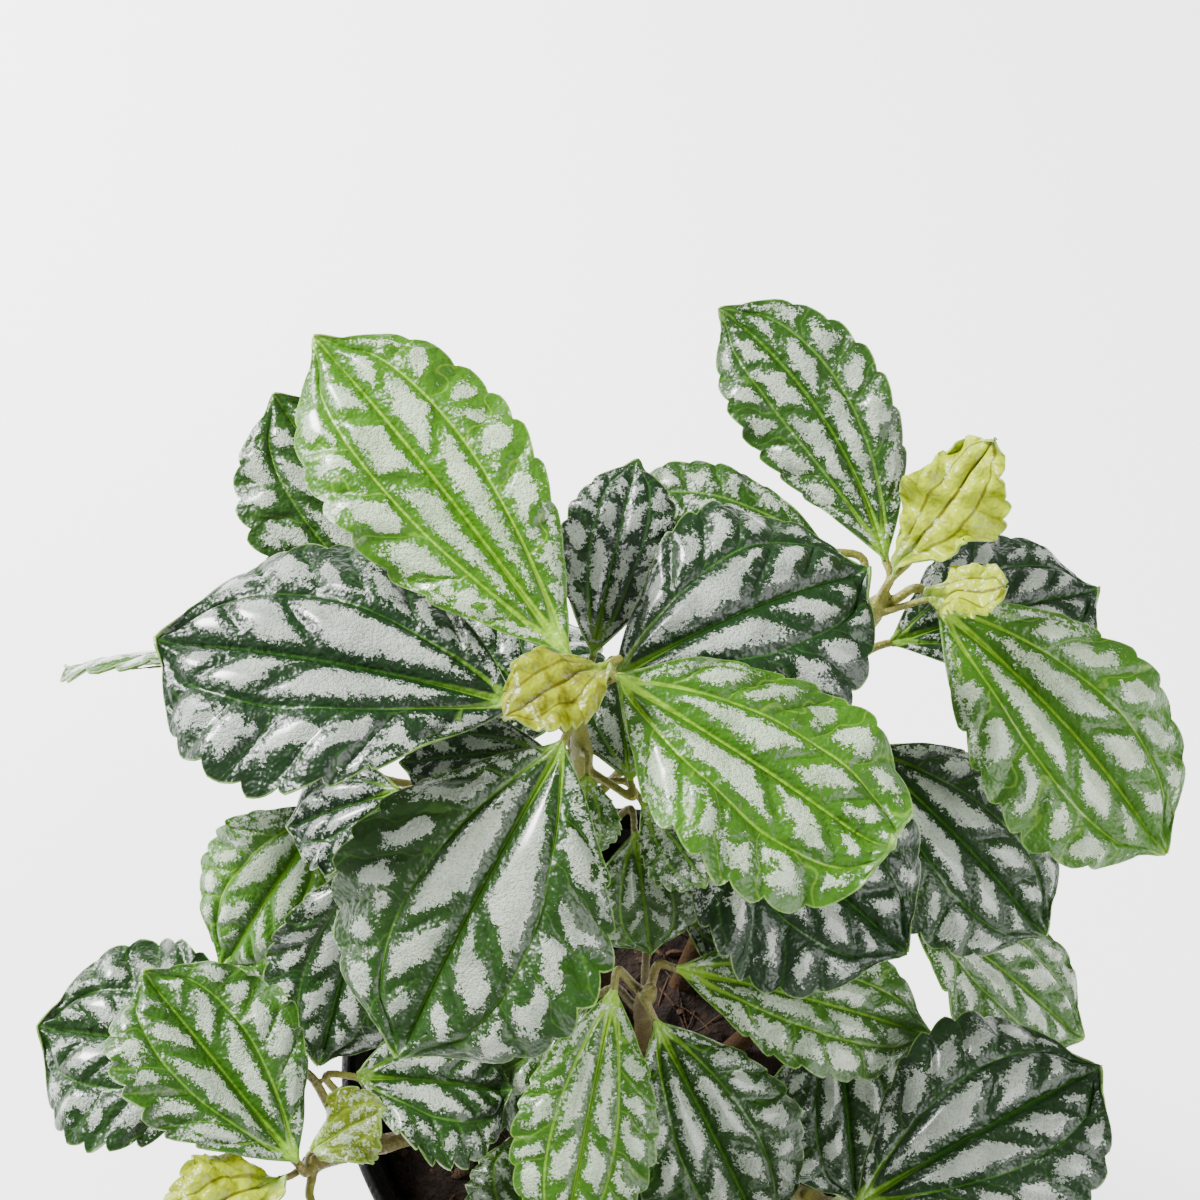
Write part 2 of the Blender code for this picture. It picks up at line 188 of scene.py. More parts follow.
SHOOTS = {
    "shoot_tall": Shoot(
        [(-2, 18, 73), (-3, 20, 120), (-5, 22, 180), (-7, 23, 234)],
        [
            Leaf((-8, 27, 236), 0.99, 128, 9, 77, 35, arch=24, roll=-10),
            Leaf((0, 23, 237), 0.99, -34, -6, 57, 41, arch=24, roll=-8, curl=130),
            Leaf((-17, 22, 229), 0.93, 167, -4, 68, 49, roll=4),
            Leaf((0, 28, 227), 0.93, 25, 1, 52, 43, arch=44, roll=4, droop=0.4),
            Leaf((-9, 17, 224), 0.87, -120, -22, 62, 49),
            Leaf((-4, 38, 216), 0.87, 77, 16, 39, 20),
            Leaf((11, 27, 192), 0.70, -36, -14, 57, 45, roll=6),
            Leaf((-14, 34, 200), 0.74, 150, -6, 50, 36),
            Leaf((4, 20, 178), 0.60, -80, -42, 26, 22),
            Leaf((-1, 24, 240), 1.0, 218, 12, 23, 15, arch=50, wave=0.2),
            Leaf((-5, 15, 214), 0.84, -92, -36, 15, 12),
            Leaf((5, 17, 199), 0.77, -50, -20, 20, 14),
            Leaf((3, 19, 203), 0.8, 97, -2, 27, 21),
            Leaf((-12, 23, 207), 0.83, 182, -6, 28, 18),
        ],
    ),
    "shoot_right_back": Shoot(
        [(14, 20, 73), (24, 30, 120), (38, 43, 165), (50, 54, 208)],
        [
            Leaf((51, 60, 213), 0.98, 122, 14, 61, 27, roll=-22, sway=30),
            Leaf((60, 52, 211), 0.98, -42, -24, 67, 40, arch=44, roll=6),
            Leaf((54, 53, 194), 0.88, 18, -4, 46, 34),
            Leaf((42, 70, 200), 0.88, 166, -10, 50, 27, arch=50, roll=-8, curl=-50),
            Leaf((50, 42, 170), 0.66, -40, -24, 56, 38, arch=34, roll=6),
            Leaf((52, 55, 216), 1.0, 44, 42, 32, 17, arch=-10, wave=0.25),
            Leaf((58, 50, 216), 0.97, -20, 40, 17, 12, wave=0.15),
        ],
    ),
    "shoot_cut": Shoot(
        [(8, 0, 73), (7, -2, 110), (6, -4, 145), (7, -7, 164)],
        [
            Leaf((0, -7, 164), 0.9, -102, -18, 50, 26, arch=26),
            Leaf((12, -3, 165), 0.92, -11, -12, 53, 26, arch=24, roll=4),
            Leaf((8, -11, 158), 0.8, -60, -26, 49, 33, arch=22),
            Leaf((-4, -3, 148), 0.72, -162, -26, 44, 32),
            Leaf((13, 10, 160), 0.86, -14, -22, 34, 25),
        ],
    ),
    "shoot_left": Shoot(
        [(-16, -6, 73), (-30, -16, 105), (-46, -29, 135), (-58, -38, 154)],
        [
            Leaf((-59, -39, 160), 0.98, 132, 10, 48, 34, roll=14, fold=0.6),
            Leaf((-68, -18, 152), 0.84, 168, -8, 50, 42),
            Leaf((-50, -20, 151), 0.74, -2, -11, 32, 33, arch=50, roll=-9, fold=0.5),
            Leaf((-56, -46, 155), 0.98, -64, 4, 46, 30, arch=40),
            Leaf((-62, -42, 160), 1.0, -150, 24, 24, 17, arch=40, wave=0.25),
            Leaf((-56, -37, 161), 1.0, 20, 30, 18, 13, arch=50, wave=0.3),
        ],
    ),
    "shoot_left_back": Shoot(
        [(-14, 16, 73), (-24, 24, 110), (-34, 34, 150), (-40, 44, 182)],
        [
            Leaf((-36, 55, 188), 0.97, 124, 18, 62, 37, arch=24),
            Leaf((-54, 51, 190), 0.97, 175, -12, 60, 30, arch=40, roll=58),
            Leaf((-58, 34, 158), 0.80, -134, -36, 44, 36, arch=24),
            Leaf((-46, 20, 168), 0.84, -110, -34, 46, 30, arch=20, roll=-10),
            Leaf((-24, 48, 150), 0.72, 84, -16, 52, 36),
            Leaf((-41, 26, 184), 0.97, -172, -24, 26, 24),
        ],
    ),
    "shoot_right": Shoot(
        [(22, 4, 73), (34, 8, 100), (46, 12, 128), (52, 14, 144)],
        [
            Leaf((60, 18, 150), 0.97, -28, -32, 54, 34, arch=24, roll=-8),
            Leaf((48, 24, 142), 0.97, 92, -14, 42, 30, arch=34),
            Leaf((46, 2, 136), 0.8, -84, -26, 44, 32, arch=24),
        ],
    ),
    "shoot_right_front": Shoot(
        [(20, -18, 73), (30, -28, 105), (38, -40, 138), (41, -46, 154)],
        [
            Leaf((45, -46, 158), 0.97, 27, 8, 54, 40, arch=34),
            Leaf((34, -52, 158), 0.97, -140, 4, 52, 36),
            Leaf((46, -54, 150), 0.86, -52, -16, 58, 42, arch=34),
            Leaf((42, -46, 160), 1.0, -80, 30, 20, 14, arch=50, wave=0.25),
        ],
    ),
    "shoot_front": Shoot(
        [(-6, -24, 73), (-12, -38, 104), (-18, -52, 132), (-20, -60, 146)],
        [
            Leaf((-28, -64, 146), 0.97, -150, -18, 58, 40),
            Leaf((-12, -64, 146), 0.97, -30, -20, 54, 38),
            Leaf((-20, -68, 142), 0.86, -96, -20, 58, 42, arch=34),
            Leaf((-16, -53, 136), 0.86, 100, -12, 28, 20),
            Leaf((-20, -60, 150), 1.0, -60, 30, 20, 14, arch=50, wave=0.25),
        ],
    ),
}

# How young each blade is, in the order of its shoot's table: 0 is old and dark, 1 is fresh green, and past 1
# it is still unfolding, yellow and crinkled.
AGES = {
    "shoot_tall": (0.85, 0.7, 0.1, 0.12, 0.3, 0.05, 0.12, 0.1, 0.45, 1.6, 0.5, 0.4, 0.3, 0.15),
    "shoot_right_back": (0.35, 0.7, 0.1, 0.35, 0.2, 1.9, 1.9),
    "shoot_cut": (0.6, 0.55, 0.3, 0.5, 0.15),
    "shoot_left": (0.45, 0.2, 0.25, 0.3, 1.8, 1.3),
    "shoot_left_back": (0.35, 0.6, 0.7, 0.2, 0.1, 0.05),
    "shoot_right": (0.5, 0.2, 0.2),
    "shoot_right_front": (0.15, 0.3, 0.2, 1.4),
    "shoot_front": (0.25, 0.4, 0.3, 0.5, 1.5),
}


def smooth_path(points, steps):
    """Catmull-Rom curve through the points, as an array."""
    knots = np.array(points, float)
    padded = np.vstack([2 * knots[0] - knots[1], knots, 2 * knots[-1] - knots[-2]])
    path = []
    for before, start, end, after in zip(padded, padded[1:], padded[2:], padded[3:]):
        for step in range(steps):
            t = step / steps
            path.append(
                0.5
                * (
                    2 * start
                    + (end - before) * t
                    + (2 * before - 5 * start + 4 * end - after) * t**2
                    + (3 * start - before - 3 * end + after) * t**3
                )
            )
    path.append(knots[-1])
    return np.array(path)


def point_at(path, share):
    """The point at a share of the path's length."""
    runs = np.linalg.norm(np.diff(path, axis=0), axis=1)
    along = np.concatenate([[0.0], np.cumsum(runs)]) / runs.sum()
    return np.array([np.interp(share, along, path[:, axis]) for axis in range(3)])


def half_width(s):
    """Outline of an obovate blade with a drawn-out tip, from 0 to 1, at a share s of the midrib."""
    widest = BASE_POWER / (BASE_POWER + TIP_POWER)
    full = widest**BASE_POWER * (1.0 - widest) ** TIP_POWER
    body = s**BASE_POWER * (1.0 - s) ** TIP_POWER / full
    drawn = np.clip((s - TIP_START) / TIP_SPAN, 0.0, 1.0)
    return body * (1.0 - TIP_PINCH * drawn**2 * (3.0 - 2.0 * drawn))


def tooth(s):
    """How far a margin tooth stands out at s, from 0 to 1: a slow rise and a quick notch."""
    phase = (s - TOOTH_START) / (TOOTH_END - TOOTH_START) * TEETH
    within = phase - np.floor(phase)
    rise = np.sin(0.5 * math.pi * np.minimum(within / TOOTH_PEAK, 1.0)) ** TOOTH_RISE
    fall = np.clip((1.0 - within) / (1.0 - TOOTH_PEAK), 0.0, 1.0) ** TOOTH_FALL
    return np.where((phase < 0) | (phase >= TEETH), 0.0, rise * fall)


def midrib(leaf, shares):
    """Points on the midrib, with the blade's sideways and upward directions there."""
    fine = np.linspace(0.0, 1.0, MIDRIB_STEPS + 1)
    middle = 0.5 * (fine[1:] + fine[:-1])
    tip_turn = np.clip((middle - CURL_START) / CURL_SPAN, 0.0, 1.0) ** 2
    pitch = np.radians(leaf.pitch + leaf.arch * (0.5 - middle) + leaf.curl * tip_turn)
    heading = np.radians(leaf.heading + leaf.sway * (middle - 0.5))
    runs = np.stack(
        [
            np.cos(pitch) * np.cos(heading),
            np.cos(pitch) * np.sin(heading),
            np.sin(pitch),
        ],
        axis=1,
    )
    line = np.vstack([np.zeros(3), np.cumsum(runs, axis=0)]) * leaf.length / MIDRIB_STEPS
    line += np.array(leaf.base, float)
    centre = np.stack([np.interp(shares, fine, line[:, axis]) for axis in range(3)], 1)
    along = np.stack([np.interp(shares, middle, runs[:, axis]) for axis in range(3)], 1)
    along /= np.linalg.norm(along, axis=1, keepdims=True)
    turn = np.interp(shares, middle, heading)
    level = np.stack([-np.sin(turn), np.cos(turn), np.zeros_like(turn)], axis=1)
    above = np.cross(along, level)
    roll = math.radians(leaf.roll)
    side = level * math.cos(roll) + above * math.sin(roll)
    up = above * math.cos(roll) - level * math.sin(roll)
    return centre, along, side, up


def blade_stations():
    """Shares of the midrib that carry a row of points, with rows on every tooth's peak and notch."""
    tooth_length = (TOOTH_END - TOOTH_START) / TEETH
    shares = list(np.linspace(0.0, TOOTH_START, BASE_ROWS, endpoint=False))
    for index in range(TEETH):
        start = TOOTH_START + index * tooth_length
        shares += [start + share * tooth_length for share in TOOTH_ROWS]
    return np.array(shares + list(np.linspace(TOOTH_END, 1.0, TIP_ROWS)))


class Blade:
    """The surface of one blade over a flat grid: its points, and the distances that place its veins."""

    def __init__(self, leaf, age, seed):
        self.leaf = leaf
        self.age = age
        self.shift = np.random.default_rng(seed).uniform(-1.0, 1.0, 4)

    def half(self, s):
        """Half of the blade's width in millimetres, without its teeth."""
        ends = BASE_HALF_WIDTH + (TIP_HALF_WIDTH - BASE_HALF_WIDTH) * s
        return np.maximum(0.5 * self.leaf.width * half_width(s), ends)

    def veins(self, s, across):
        """Distances to the midrib and the lateral, and the share at which each slanted cross vein starts."""
        half, reach = self.half(s), np.abs(across)
        lateral = LATERAL + 0.04 * self.shift[0] * np.sign(across) + 0.14 * (s - 0.5)
        rib = half * reach
        side = half * (reach - lateral)
        ahead = s - INNER_LEAN * rib / self.leaf.length + (0.05 * self.shift[1] + 0.03) * across
        outer = s - OUTER_LEAN * side / self.leaf.length + 0.04 * self.shift[2] * across
        return rib, side, ahead, outer + 0.03 * self.shift[3]

    def relief(self, s, across):
        """Height of the quilting over the trough: about 0 between the veins, and below 0 along them."""
        rib, side, ahead, outer = self.veins(s, across)
        root = np.maximum(np.round(INNER_CELLS * np.clip(ahead, 0.0, 1.0) ** 2), 1.0)
        inner_rung = np.abs(ahead - np.sqrt(root / INNER_CELLS)) * self.leaf.length
        outer_rung = np.abs(outer - np.round(outer * OUTER_CELLS) / OUTER_CELLS) * self.leaf.length
        groove = np.maximum(
            RIB_DEPTH * np.exp(-rib / RIB_SPREAD),
            LATERAL_DEPTH * np.exp(-np.abs(side) / LATERAL_SPREAD),
        )
        rung = np.where(side < 0, inner_rung, outer_rung)
        groove = np.maximum(groove, RUNG_DEPTH * np.exp(-rung / RUNG_SPREAD))
        calm = np.clip((1.0 - np.abs(across)) / 0.14, 0.0, 1.0) * 0.7 + 0.3
        size = min(self.leaf.width / FULL_QUILT, 1.0)
        return -size * groove * calm * np.clip(self.half(s) / 5.0, 0.15, 1.0)

    def points(self, s, across):
        """Points of the blade in millimetres, and each one's distance in from the margin."""
        leaf = self.leaf
        centre, along, side, up = midrib(leaf, s * BLADE_REACH)
        half = self.half(s)
        margin = np.abs(across) ** 6
        teeth = tooth(s)
        reach = half * across * (1.0 + TOOTH_DEPTH * margin * teeth)
        lift = half * (leaf.fold * (1.0 - 0.6 * s) * np.abs(across) - leaf.droop * across**2)
        ripple = np.sin(9.0 * s + 2.0 * across + 0.05 * leaf.heading)
        lift = lift + 0.5 * leaf.width * leaf.wave * across**2 * ripple
        lift = lift + self.relief(s, across)
        lift = lift - 0.9 * margin * teeth * np.clip(half / 8.0, 0.0, 1.0)
        broad = np.sin(12.0 * s + 6.0 * self.shift[1] + 2.0 * across)
        narrow = 0.6 * np.sin(23.0 * s + 6.0 * self.shift[2])
        lift = lift + SWELL * half / 20.0 * across**2 * (broad + narrow)
        points = centre + side * reach[:, None] + up * lift[:, None]
        points = points + along * (TOOTH_LEAN * margin * teeth * np.clip(half / 6.0, 0.0, 1.0))[:, None]
        if self.age > 1.0:
            points = points + self.crinkle(points, np.abs(across), up, side)
        edge = half * (1.0 - np.abs(across)) * (1.0 + TOOTH_DEPTH * margin * teeth)
        return points, edge

    def crinkle(self, points, reach, up, side):
        """Folds of a blade that is still unfolding."""
        deep = CRINKLE * min(self.age - 1.0, 1.0)
        rise = np.array([0.3 - abs(noise.noise(Vector(point) / 6.5)) for point in points])
        rise = rise + np.array([0.35 * noise.noise(Vector(point) / 2.8) for point in points])
        sway = np.array([noise.noise(Vector(point) / 6.0 + Vector((9, 5, 2))) for point in points])
        strength = deep * (0.3 + 0.7 * reach)
        return up * (strength * rise)[:, None] + side * (0.4 * strength * sway)[:, None]


def deselect():
    """Operators act on what is selected, and the frame leaves its nodes selected."""
    for chosen in list(bpy.context.selected_objects):
        chosen.select_set(False)


def activate(*objects):
    """Only these objects are selected, and the first is active."""
    deselect()
    for chosen in objects:
        chosen.select_set(True)
    bpy.context.view_layer.objects.active = objects[0]


def finish_modifier(made, modifier):
    """Applies a modifier to an object's mesh."""
    activate(made)
    bpy.ops.object.modifier_apply(modifier=modifier.name)


def settle(made, angle):
    """Smooth shading up to an angle, with the object's place in its mesh."""
    activate(made)
    bpy.ops.object.transform_apply(location=True, rotation=True, scale=True)
    bpy.ops.object.shade_smooth_by_angle(angle=math.radians(angle))


def place_piece(made, name, nodes, materials):
    """Names a finished piece, gives it its materials, and ties it to the part."""
    made.name = name
    made.data.name = name
    made.data.materials.clear()
    for material in materials:
        made.data.materials.append(material)
    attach(made, BODY)
    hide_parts(*nodes)


class Value:
    """A socket in a material, so that shader maths reads as plain expressions."""

    def __init__(self, paint, socket):
        self.paint = paint
        self.socket = socket

    def math(self, operation, *terms):
        return self.paint.node("ShaderNodeMath", {"operation": operation}, dict(enumerate(terms)))

    def __add__(self, other):
        return self.math("ADD", self, other)

    __radd__ = __add__

    def __sub__(self, other):
        return self.math("SUBTRACT", self, other)

    def __rsub__(self, other):
        return self.math("SUBTRACT", other, self)

    def __mul__(self, other):
        return self.math("MULTIPLY", self, other)

    __rmul__ = __mul__

    def __truediv__(self, other):
        return self.math("DIVIDE", self, other)

    def least(self, other):
        return self.math("MINIMUM", self, other)

    def most(self, other):
        return self.math("MAXIMUM", self, other)

    def size(self):
        return self.math("ABSOLUTE", self)

    def root(self):
        return self.math("SQRT", self)

    def whole(self):
        return self.math("ROUND", self)

    def step(self, low, high):
        """Rises smoothly from 0 to 1 between two values."""
        settings = {"interpolation_type": "SMOOTHSTEP"}
        return self.paint.node("ShaderNodeMapRange", settings, {0: self, 1: low, 2: high})


class Paint:
    """A procedural material on one Principled shader."""

    def __init__(self, name, **constants):
        self.material = bpy.data.materials.new(name)
        self.material.use_nodes = True
        self.tree = self.material.node_tree
        self.shader = self.tree.nodes["Principled BSDF"]
        for socket, value in constants.items():
            self.shader.inputs[socket.replace("_", " ")].default_value = value

    def node(self, kind, settings=None, sockets=None, output=0):
        """Adds a node: its settings first, then the values or links of its sockets."""
        made = self.tree.nodes.new(kind)
        for key, value in (settings or {}).items():
            setattr(made, key, value)
        for key, value in (sockets or {}).items():
            if isinstance(value, Value):
                self.tree.links.new(value.socket, made.inputs[key])
            else:
                made.inputs[key].default_value = value
        return Value(self, made.outputs[output])

    def feed(self, **sockets):
        """Links values to the shader's sockets."""
        for name, value in sockets.items():
            self.tree.links.new(value.socket, self.shader.inputs[name.replace("_", " ")])

    def attribute(self, name):
        """The three numbers of a mesh attribute."""
        vector = self.node("ShaderNodeAttribute", {"attribute_name": name}, output="Vector")
        return [self.part(vector, axis) for axis in "XYZ"]

    def part(self, vector, axis):
        return self.node("ShaderNodeSeparateXYZ", {}, {0: vector}, output=axis)

    def place(self):
        return self.node("ShaderNodeTexCoord", output="Object")

    def noise(self, vector, size_mm, detail=2.0, roughness=0.5):
        """Soft noise about 0, mostly from -1 to 1, with features of about the size given."""
        sockets = {
            "Vector": vector,
            "Scale": 1.0 / (size_mm * MM),
            "Detail": detail,
            "Roughness": roughness,
        }
        return (self.node("ShaderNodeTexNoise", {}, sockets) - 0.5) * 4.0

    def mix(self, factor, first, second):
        """The second colour over the first."""
        sockets = {0: factor, 6: self.colour(first), 7: self.colour(second)}
        return self.node("ShaderNodeMix", {"data_type": "RGBA"}, sockets, output=2)

    def colour(self, value):
        return value if isinstance(value, Value) else (*value[:3], 1.0)

    def bump(self, height, distance_mm):
        """A normal from a height, where a height of 1 stands for the distance given."""
        sockets = {"Strength": 1.0, "Distance": distance_mm * MM, "Height": height}
        return self.node("ShaderNodeBump", {}, sockets)


def leaf_paint(looks):
    """Upper side of a blade: glossy green with ragged silver patches between its veins."""
    paint = Paint("leaf_upper", Specular_IOR_Level=0.35, Coat_Roughness=0.2)
    rib, side, ahead = paint.attribute("veins")
    outer, along, edge = paint.attribute("cells")
    age, length, width = paint.attribute("kind")
    place = paint.place()
    fringe = paint.noise(place, 0.55, detail=2.0, roughness=0.75)
    blotch = paint.noise(place, 2.6, detail=2.0, roughness=0.6)
    cloud = paint.noise(place, 8.0, detail=1.0)
    drift = paint.noise(place, 5.0, detail=0.0)
    ragged = fringe + blotch * 0.85
    root = (ahead * ahead * INNER_CELLS).whole().most(1.0)
    inner_rung = (ahead - (root / INNER_CELLS).root()).size() * length * INNER_SLANT
    bent = outer + drift * 0.03
    outer_rung = (bent - (bent * OUTER_CELLS).whole() / OUTER_CELLS).size() * length * OUTER_SLANT
    size = (width / BROAD_BLADE).least(1.0)
    inner_patch = (rib - size * MIDRIB_CLEAR).least(-1.0 * side - size * LATERAL_CLEAR)
    inner_patch = inner_patch.least(inner_rung - size * RUNG_CLEAR - cloud * 0.4)
    middle = (side - (side + edge) * PATCH_MIDDLE).size()
    half_cell = length * (0.5 * OUTER_SLANT / OUTER_CELLS)
    onward = half_cell - outer_rung
    blob = (onward * onward + middle * middle * 0.5).root()
    outer_patch = (half_cell * (PATCH_RADIUS + drift * 0.22) - blob).least(side - size * OUTER_CLEAR)
    outer_patch = outer_patch.least(edge - size * EDGE_CLEAR)
    speck = (blotch * 1.5 - SPECK_LEVEL).least(side).least(edge - 0.6)
    sliver = (0.5 - (edge - SLIVER_INSET).size()).least((SLIVER_END - along) * 14.0 + cloud * 0.6)
    base_fade = (along - BARE_BASE) * 60.0
    patch = (inner_patch.most(outer_patch).most(sliver) + ragged).most(speck).least(base_fade)
    fresh = age.step(0.0, 1.0)
    unfolding = age.step(1.0, 1.5)
    silver = patch.step(-0.1, 0.3) * (1.0 - unfolding)
    mottle = paint.noise(place, 9.0, detail=3.0).step(-1.2, 1.2)
    green = paint.mix(fresh, looks.old_green, looks.young_green)
    green = paint.mix(mottle * 0.35, green, looks.deep_green)
    # Partly real colour and partly painted shade: the dark shade colour is mixed into the unfolding yellow in
    # random blotches, and over nearly all of a blade whose age is well below 1.9, standing in for the shadows
    # in its crinkled folds.
    olive_and_painted_shade_share = (blotch.step(-0.6, 1.2) * 0.55 + (1.9 - age) * 1.5).most(0.0).least(0.95)
    tender_with_painted_shade = paint.mix(olive_and_painted_shade_share, looks.unfolding, looks.unfolding_olive_and_painted_shade)
    green = paint.mix(unfolding, green, tender_with_painted_shade)
    vein = paint.mix(fresh, looks.old_vein, looks.young_vein)
    vein = paint.mix(unfolding, vein, looks.unfolding_olive_and_painted_shade)
    near = 1.0 - along.step(0.0, 0.4)
    vein = paint.mix(near * 0.5, vein, looks.young_vein)
    thin = 1.0 - outer_rung.step(0.05, 0.35)
    line = 1.0 - (rib - near * 0.65).step(0.15, 0.6)
    line = line.most((1.0 - (side.size() - near * 0.5).step(0.1, 0.45)) * 0.85)
    line = line.most((thin * side.step(0.0, 1.0)) * 0.4)
    green = paint.mix(line * (0.5 + fresh * 0.4 + near * 0.35).least(1.0), green, vein)
    pale = paint.mix(fresh, looks.old_silver, looks.young_silver)
    frost = paint.noise(place, 0.5, detail=2.0, roughness=0.7)
    pale = paint.mix(frost.step(-0.3, 1.2) * 0.4, pale, green)
    pale = paint.mix(cloud.step(-0.6, 1.4) * 0.5 + blotch.step(-0.4, 1.6) * 0.2, pale, green)
    colour = paint.mix(silver, green, pale)
    rim = 1.0 - edge.step(0.05, 0.3)
    colour = paint.mix(rim * (0.35 + blotch.step(-0.5, 1.0) * 0.4), colour, looks.margin)
    paint.feed(Base_Color=colour)
    paint.feed(Roughness=0.34 + frost.size() * 0.05)
    paint.feed(Coat_Weight=silver * 0.85 + (1.0 - unfolding) * 0.12)
    grain = frost * silver * 0.9 + silver * 0.5 + blotch * 0.9
    paint.feed(Normal=paint.bump(grain, 0.24))
    return paint.material


def underside_paint(looks):
    """Lower side of a blade: pale, matt green with its veins standing out."""
    paint = Paint("leaf_lower", Specular_IOR_Level=0.35)
    rib, side = paint.attribute("veins")[:2]
    age = paint.attribute("kind")[0]
    place = paint.place()
    line = (1.0 - rib.step(0.3, 1.0)).most(1.0 - side.size().step(0.2, 0.8))
    tone = paint.mix(age.step(0.8, 1.8), looks.underside, looks.unfolding)
    tone = paint.mix(paint.noise(place, 2.5, detail=3.0).step(-1.0, 1.4) * 0.4, tone, looks.deep_green)
    tone = paint.mix(line * 0.6, tone, looks.young_vein)
    paint.feed(Base_Color=tone)
    paint.feed(Roughness=0.62 + paint.noise(place, 1.0) * 0.05)
    paint.feed(Normal=paint.bump(paint.noise(place, 0.7, detail=2.0), 0.1))
    return paint.material


def stem_paint(looks):
    """Stems and petioles: green above and brown below, with darker, duller streaks."""
    paint = Paint("stem_skin", Specular_IOR_Level=0.45)
    place = paint.place()
    height = paint.part(place, "Z")
    blush = (height * -9.0 + 1.9 + paint.noise(place, 9.0, detail=2.0) * 0.35).step(0.0, 1.0)
    skin = paint.mix(blush, looks.stem_green, looks.stem_brown)
    streak = paint.noise(place, 1.2, detail=3.0).step(-0.2, 1.5)
    skin = paint.mix(streak * 0.35, skin, looks.stem_dark)
    paint.feed(Base_Color=skin)
    paint.feed(Roughness=0.42 + streak * 0.2)
    paint.feed(Normal=paint.bump(paint.noise(place, 0.8, detail=3.0), 0.12))
    return paint.material


def soil_paint(looks):
    """Damp potting mix: nearly black, with browner crumbs."""
    paint = Paint("potting_mix", Specular_IOR_Level=0.3)
    place = paint.place()
    crumb = paint.noise(place, 1.6, detail=4.0, roughness=0.65)
    tone = paint.mix(crumb.step(-0.8, 1.2), looks.soil_dark, looks.soil_brown)
    fleck = paint.noise(place, 2.2, detail=1.0).step(1.1, 1.5)
    tone = paint.mix(fleck * 0.7, tone, looks.fibre)
    paint.feed(Base_Color=tone)
    paint.feed(Roughness=0.92 - crumb.step(0.2, 1.4) * 0.2)
    paint.feed(Normal=paint.bump(crumb, 0.5))
    return paint.material


def fibre_paint(looks):
    """Bark chips and coir in the mix."""
    paint = Paint("bark_and_coir", Specular_IOR_Level=0.3)
    place = paint.place()
    tone = paint.mix(paint.noise(place, 7.0, detail=1.0).step(-0.9, 0.9), looks.soil_brown, looks.fibre)
    tone = paint.mix(paint.noise(place, 0.8, detail=3.0).step(0.0, 1.3) * 0.5, tone, looks.soil_dark)
    paint.feed(Base_Color=tone)
    paint.feed(Roughness=0.8 + paint.noise(place, 2.0) * 0.06)
    paint.feed(Normal=paint.bump(paint.noise(place, 0.6, detail=3.0), 0.2))
    return paint.material


def pot_paint(looks):
    """Thin moulded plastic, near black, dusty all over and more so low on the wall."""
    paint = Paint("pot_plastic", Specular_IOR_Level=0.3)
    place = paint.place()
    height = paint.part(place, "Z")
    dust = paint.noise(place, 14.0, detail=5.0, roughness=0.6).step(0.1, 1.8)
    low = 1.0 - height.step(0.0, 0.05)
    film = (dust * 0.5 + low * dust * 0.5).least(1.0)
    paint.feed(Base_Color=paint.mix(film * 0.5, looks.pot_dark, looks.pot_dust))
    scuff = paint.noise(place, 1.1, detail=4.0)
    paint.feed(Roughness=0.42 + film * 0.3 + scuff * 0.03)
    paint.feed(Normal=paint.bump(scuff, 0.05))
    return paint.material


def floor_paint(looks):
    paint = Paint("studio_floor", Base_Color=(*looks.floor, 1.0), Roughness=0.9)
    paint.shader.inputs["Emission Color"].default_value = (1.0, 1.0, 1.0, 1.0)
    paint.shader.inputs["Emission Strength"].default_value = looks.floor_glow
    return paint.material


def colour_property(name, description, value):
    return bpy.props.FloatVectorProperty(
        name=name, description=description, default=value, size=3, min=0.0, max=1.0, subtype="COLOR"
    )


class LeafLooks(bpy.types.PropertyGroup):
    """Colours and build of the blades."""

    thickness: bpy.props.FloatProperty(
        name="Thickness",
        description="Thickness of a blade",
        default=0.45 * MM,
        min=0.1 * MM,
        unit="LENGTH",
    )
    old_green: colour_property("Old green", "Green of a full-grown blade", (0.002, 0.017, 0.002))
    young_green: colour_property("Young green", "Green of a fresh blade", (0.052, 0.17, 0.003))
    deep_green: colour_property("Deep green", "Darker clouds in the green", (0.002, 0.010, 0.002))
    old_silver: colour_property("Old silver", "Silver of a full-grown blade", (0.43, 0.48, 0.41))
    young_silver: colour_property("Young silver", "Silver of a fresh blade", (0.56, 0.72, 0.46))
    old_vein: colour_property("Old vein", "Veins of a full-grown blade", (0.04, 0.14, 0.015))
    young_vein: colour_property("Young vein", "Veins of a fresh blade", (0.26, 0.46, 0.03))
    margin: colour_property("Margin", "Thin pale line along the teeth", (0.24, 0.40, 0.09))
    unfolding: colour_property("Unfolding", "Yellow of a blade that is unfolding", (0.40, 0.50, 0.0))
    # Partly the real tint of an unfolding blade and partly painted shade: this dark colour stands in for the
    # shadows in the blade's crinkled folds, and it also colours the veins of an unfolding blade.
    unfolding_olive_and_painted_shade: colour_property(
        "Unfolding shade", "Olive folds of a blade that is unfolding", (0.07, 0.055, 0.0)
    )
    underside: colour_property("Underside", "Pale lower side of a blade", (0.17, 0.27, 0.12))


class StemLooks(bpy.types.PropertyGroup):
    """Colours of the stems and petioles."""

    stem_green: colour_property("Green", "Young stem and petioles", (0.19, 0.19, 0.022))
    stem_brown: colour_property("Brown", "Older stem", (0.07, 0.038, 0.018))
    stem_dark: colour_property("Dark", "Marks on the stem", (0.07, 0.045, 0.02))


class SoilLooks(bpy.types.PropertyGroup):
    """Colours of the soil, and how much bark and fibre lies on it."""

    chips: bpy.props.IntProperty(name="Chips", description="Bark chips on the soil", default=210, min=0)
    fibres: bpy.props.IntProperty(name="Fibres", description="Strands of coir", default=70, min=0)
    soil_dark: colour_property("Dark", "Wet crumbs", (0.008, 0.005, 0.004))
    soil_brown: colour_property("Brown", "Drier crumbs and bark", (0.035, 0.018, 0.010))
    fibre: colour_property("Fibre", "Orange-brown coir", (0.085, 0.045, 0.022))


